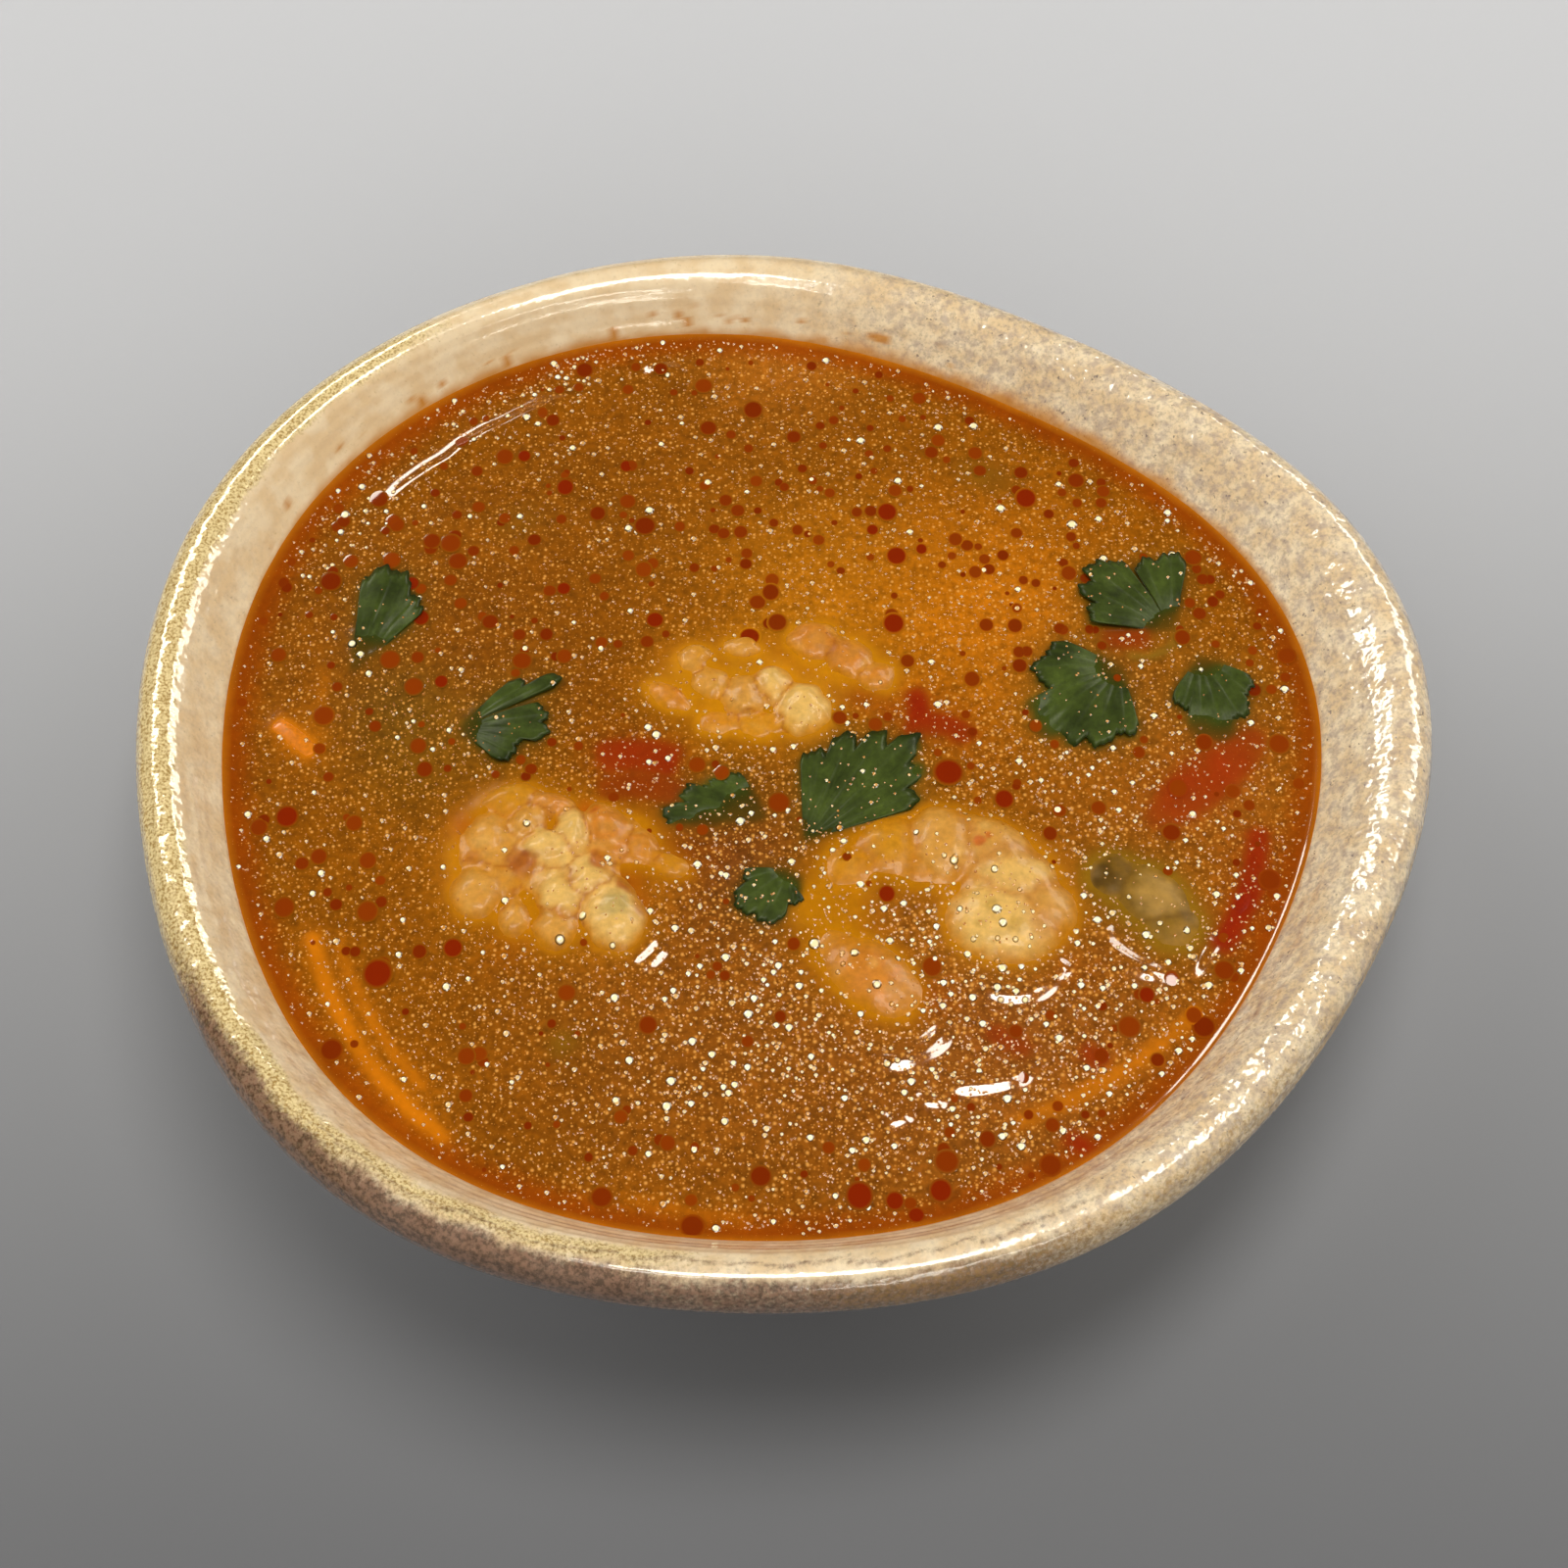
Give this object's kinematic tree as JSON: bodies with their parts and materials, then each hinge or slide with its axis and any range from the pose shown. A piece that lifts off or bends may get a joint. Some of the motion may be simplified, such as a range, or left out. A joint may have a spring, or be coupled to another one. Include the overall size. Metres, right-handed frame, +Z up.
{
  "type": "bowl of tom yum soup",
  "caption": "Uneven, thick-lipped glazed bowl filled with hot and sour broth, with curled prawns, mushroom, tomato, pepper and carrot strips and coriander leaves floating in it.",
  "frame": {"origin": "on the table, under the middle of the bowl's outline", "axes": "+Z up, +X to the bowl's pointed side, -Y towards the viewer"},
  "size_m": [0.2066, 0.1927, 0.06],
  "materials": {
    "stoneware_glaze": "glossy reactive glaze on stoneware, warm white with gold-brown speckle at the lip",
    "broth": "cloudy amber-brown broth with a wet sheen and beads of red oil",
    "prawn": "cooked prawn flesh, creamy white with orange tint, wet",
    "mushroom": "translucent grey-green mushroom, wet",
    "tomato": "soft red tomato flesh, wet",
    "pepper": "red pepper skin, wet",
    "carrot": "cooked orange carrot strip, wet",
    "coriander": "dark green wilted leaf with glossy edges"
  },
  "bodies": {
    "root": {"bowl": "stoneware_glaze", "broth": "broth", "prawn_left": "prawn", "prawn_centre": "prawn", "prawn_right": "prawn", "mushroom_piece": "mushroom", "tomato_wedge": "tomato", "pepper_strip": "pepper", "pepper_bit": "pepper", "pepper_slice": "pepper", "carrot_strip_left": "carrot", "carrot_strip_front_left": "carrot", "carrot_strip_front_right": "carrot", "coriander_leaf_1": "coriander", "coriander_leaf_2": "coriander", "coriander_leaf_3": "coriander", "coriander_leaf_4": "coriander", "coriander_leaf_5": "coriander", "coriander_leaf_6": "coriander", "coriander_leaf_7": "coriander", "coriander_leaf_8": "coriander"}
  },
  "joints": []
}
